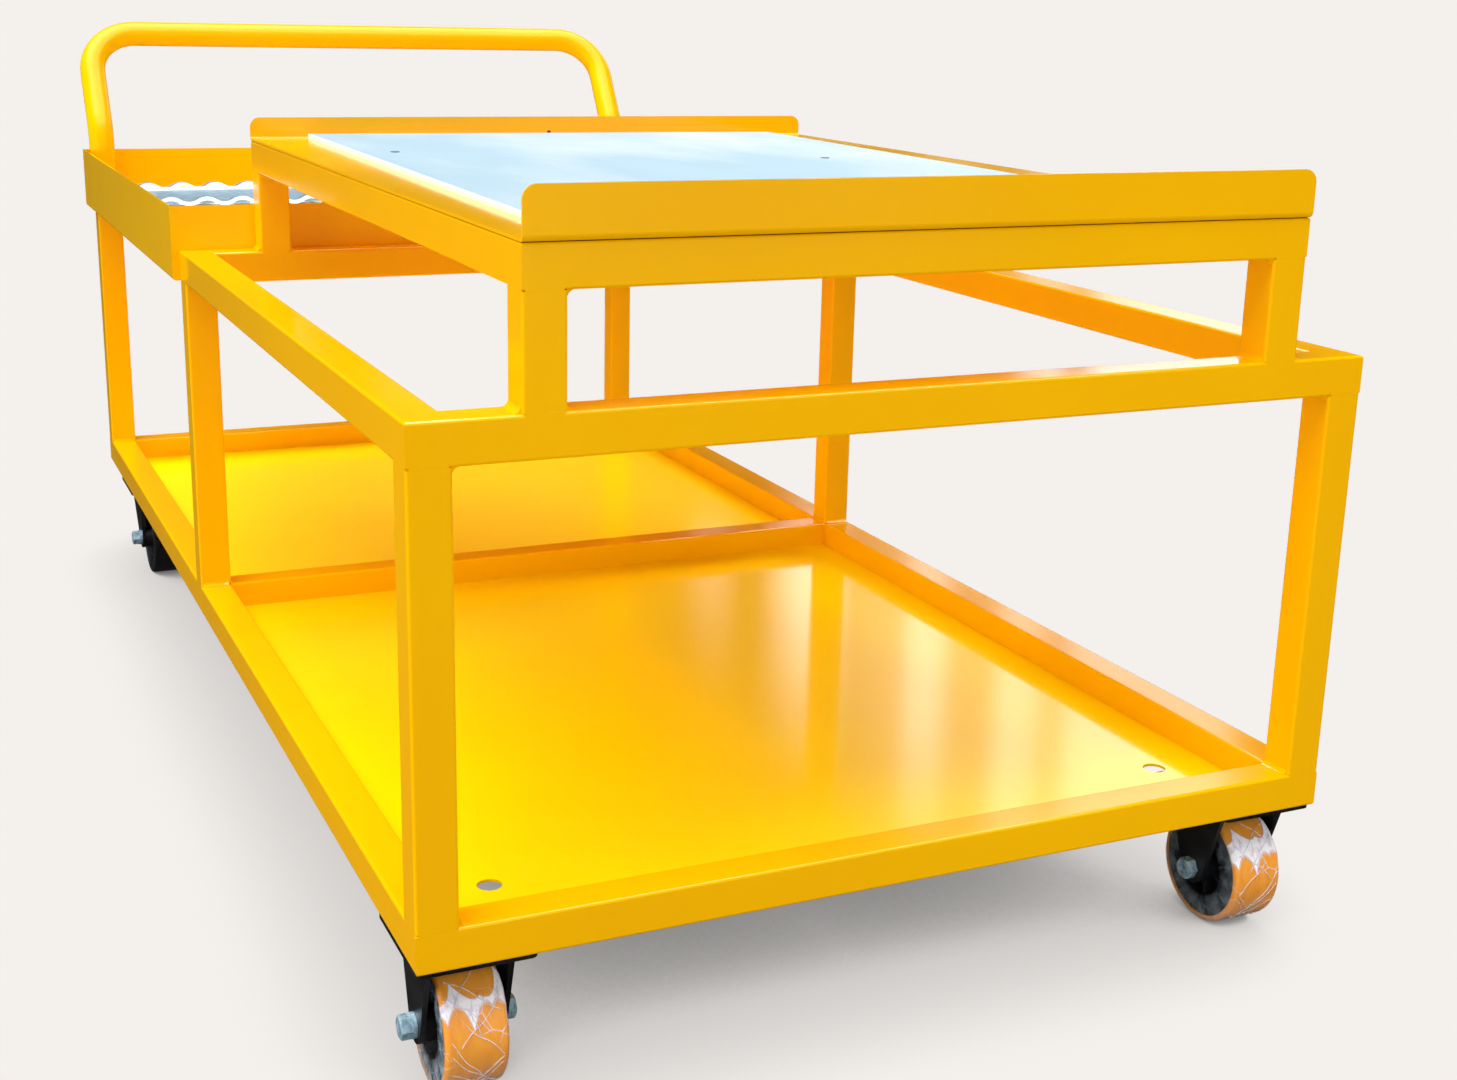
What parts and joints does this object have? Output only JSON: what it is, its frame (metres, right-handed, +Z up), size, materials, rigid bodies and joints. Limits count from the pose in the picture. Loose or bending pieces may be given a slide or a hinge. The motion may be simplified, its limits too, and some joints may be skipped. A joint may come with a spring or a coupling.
{
  "type": "material trolley",
  "caption": "Welded square-tube material trolley with recessed decks, a raised lipped work table, a tool tray with a wave rack, a leaning push handle and castered wheels.",
  "frame": {"origin": "on the floor under the middle of the overall box, midway between the table's front lip and the handle's cross bar", "axes": "+X right seen from the table end, +Y along the length towards the handle, +Z up"},
  "size_m": [1.02, 2.1984, 0.921],
  "materials": {
    "yellow_paint": "gloss powder coat",
    "plate_white": "gloss",
    "rack_steel": "galvanised",
    "black_steel": "satin",
    "tread_orange": "satin polyurethane",
    "tread_black": "satin polyurethane",
    "core_black": "satin",
    "zinc": "bright zinc"
  },
  "bodies": {
    "frame": {"base_cross_member": "yellow_paint", "base_front_rail": "yellow_paint", "base_left_rail": "yellow_paint", "base_rear_rail": "yellow_paint", "base_right_rail": "yellow_paint", "front_deck": "yellow_paint", "front_left_bolt": "zinc", "front_left_bracket": "black_steel", "front_left_nut": "zinc", "front_left_post": "yellow_paint", "front_right_bolt": "zinc", "front_right_bracket": "black_steel", "front_right_nut": "zinc", "front_right_post": "yellow_paint", "middle_left_post": "yellow_paint", "middle_right_post": "yellow_paint", "push_handle": "yellow_paint", "rack_front_bar": "yellow_paint", "rack_front_wave": "rack_steel", "rack_rear_bar": "yellow_paint", "rack_rear_wave": "rack_steel", "rack_sheet": "rack_steel", "rear_deck": "yellow_paint", "rear_left_post": "yellow_paint", "rear_left_swivel_plate": "black_steel", "rear_right_post": "yellow_paint", "rear_right_swivel_plate": "black_steel", "ring_front_rail": "yellow_paint", "ring_left_rail": "yellow_paint", "ring_rear_rail": "yellow_paint", "ring_right_rail": "yellow_paint", "table_front_left_leg": "yellow_paint", "table_front_rail": "yellow_paint", "table_front_right_leg": "yellow_paint", "table_left_rail": "yellow_paint", "table_pan": "yellow_paint", "table_plate": "plate_white", "table_rear_left_leg": "yellow_paint", "table_rear_rail": "yellow_paint", "table_rear_right_leg": "yellow_paint", "table_right_rail": "yellow_paint", "tool_tray": "yellow_paint"},
    "front_left_wheel": {"front_left_core": "core_black", "front_left_tread": "tread_orange"},
    "front_right_wheel": {"front_right_core": "core_black", "front_right_tread": "tread_orange"},
    "rear_left_fork": {"rear_left_bolt": "zinc", "rear_left_fork": "black_steel", "rear_left_nut": "zinc"},
    "rear_left_wheel": {"rear_left_core": "core_black", "rear_left_tread": "tread_black"},
    "rear_right_fork": {"rear_right_bolt": "zinc", "rear_right_fork": "black_steel", "rear_right_nut": "zinc"},
    "rear_right_wheel": {"rear_right_core": "core_black", "rear_right_tread": "tread_black"}
  },
  "joints": [
    {"name": "front_left_roll", "type": "hinge", "parent": "frame", "child": "front_left_wheel", "pos_m": [-0.442, -1.02523, 0.0625], "axis": [1, 0, 0], "continuous": true},
    {"name": "rear_left_swivel", "type": "hinge", "parent": "frame", "child": "rear_left_fork", "pos_m": [-0.442, 0.75377, 0.135], "axis": [0, 0, 1], "continuous": true},
    {"name": "rear_left_roll", "type": "hinge", "parent": "rear_left_fork", "child": "rear_left_wheel", "pos_m": [-0.442, 0.71977, 0.0625], "axis": [1, 0, 0], "continuous": true},
    {"name": "front_right_roll", "type": "hinge", "parent": "frame", "child": "front_right_wheel", "pos_m": [0.442, -1.02523, 0.0625], "axis": [1, 0, 0], "continuous": true},
    {"name": "rear_right_swivel", "type": "hinge", "parent": "frame", "child": "rear_right_fork", "pos_m": [0.442, 0.75377, 0.135], "axis": [0, 0, 1], "continuous": true},
    {"name": "rear_right_roll", "type": "hinge", "parent": "rear_right_fork", "child": "rear_right_wheel", "pos_m": [0.442, 0.71977, 0.0625], "axis": [1, 0, 0], "continuous": true}
  ]
}
